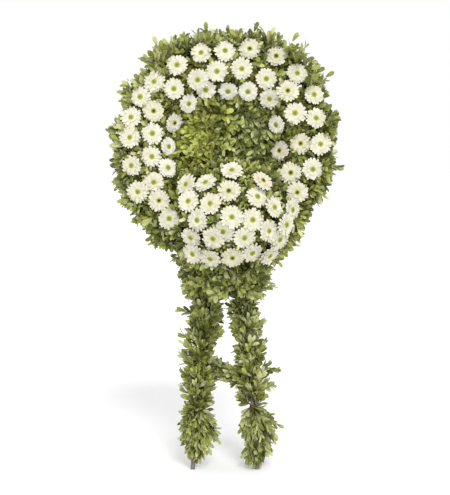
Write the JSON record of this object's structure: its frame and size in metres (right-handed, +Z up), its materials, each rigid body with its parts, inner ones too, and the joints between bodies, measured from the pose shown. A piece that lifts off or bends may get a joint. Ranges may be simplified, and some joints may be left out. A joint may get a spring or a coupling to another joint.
{
  "type": "memorial wreath",
  "caption": "Standing memorial wreath: a leafy ring of white gerberas with a leaf-filled centre, a domed lower bouquet and leaf-wrapped legs on a steel trestle.",
  "frame": {"origin": "middle of the footprint box of the standing piece, on the floor", "axes": "+Z up, the flowers face -Y, +X to the right of someone looking at the flowers"},
  "size_m": [0.9772, 0.7172, 1.7907],
  "materials": {
    "petal": "soft matt petals, creamy white with a pale green eye",
    "leaf": "waxy satin evergreen leaf",
    "lime_leaf": "satin yellow-green leaf",
    "blue_green_leaf": "satin dark blue-green leaf",
    "straw": "dry bound straw",
    "floral_foam": "matt fine-celled foam",
    "trestle_steel": "satin grey paint",
    "foot_cap": "matt moulded plastic"
  },
  "bodies": {
    "root": {"bouquet_flowers_01": "petal", "bouquet_flowers_02": "petal", "bouquet_flowers_03": "petal", "bouquet_flowers_04": "petal", "bouquet_flowers_05": "petal", "bouquet_flowers_06": "petal", "bouquet_flowers_07": "petal", "bouquet_flowers_08": "petal", "bouquet_foam": "floral_foam", "bouquet_foliage": "leaf", "centre_foliage_left": "lime_leaf", "centre_foliage_right": "blue_green_leaf", "centre_pad": "straw", "crosspiece_foliage": "leaf", "front_brace": "trestle_steel", "front_foot_cap_left": "foot_cap", "front_foot_cap_right": "foot_cap", "front_leg_left": "trestle_steel", "front_leg_right": "trestle_steel", "inner_foliage_01": "leaf", "inner_foliage_02": "leaf", "inner_foliage_03": "leaf", "leg_foliage_left_lower": "leaf", "leg_foliage_left_middle": "leaf", "leg_foliage_left_upper": "leaf", "leg_foliage_right_lower": "leaf", "leg_foliage_right_middle": "leaf", "leg_foliage_right_upper": "leaf", "neck_foliage": "leaf", "rear_crossbar": "trestle_steel", "rear_foot_cap_left": "foot_cap", "rear_foot_cap_right": "foot_cap", "rear_leg_left": "trestle_steel", "rear_leg_right": "trestle_steel", "rim_foliage_01": "leaf", "rim_foliage_02": "leaf", "rim_foliage_03": "leaf", "rim_foliage_04": "leaf", "rim_foliage_05": "leaf", "rim_foliage_06": "leaf", "ring_flowers_01": "petal", "ring_flowers_02": "petal", "ring_flowers_03": "petal", "ring_flowers_04": "petal", "ring_flowers_05": "petal", "ring_flowers_06": "petal", "ring_flowers_07": "petal", "ring_flowers_08": "petal", "ring_flowers_09": "petal", "ring_flowers_10": "petal", "ring_flowers_11": "petal", "ring_flowers_12": "petal", "ring_flowers_13": "petal", "ring_flowers_14": "petal", "ring_flowers_15": "petal", "ring_hoop": "trestle_steel", "side_stay_left": "trestle_steel", "side_stay_right": "trestle_steel", "straw_ring": "straw", "top_yoke": "trestle_steel"}
  },
  "joints": []
}
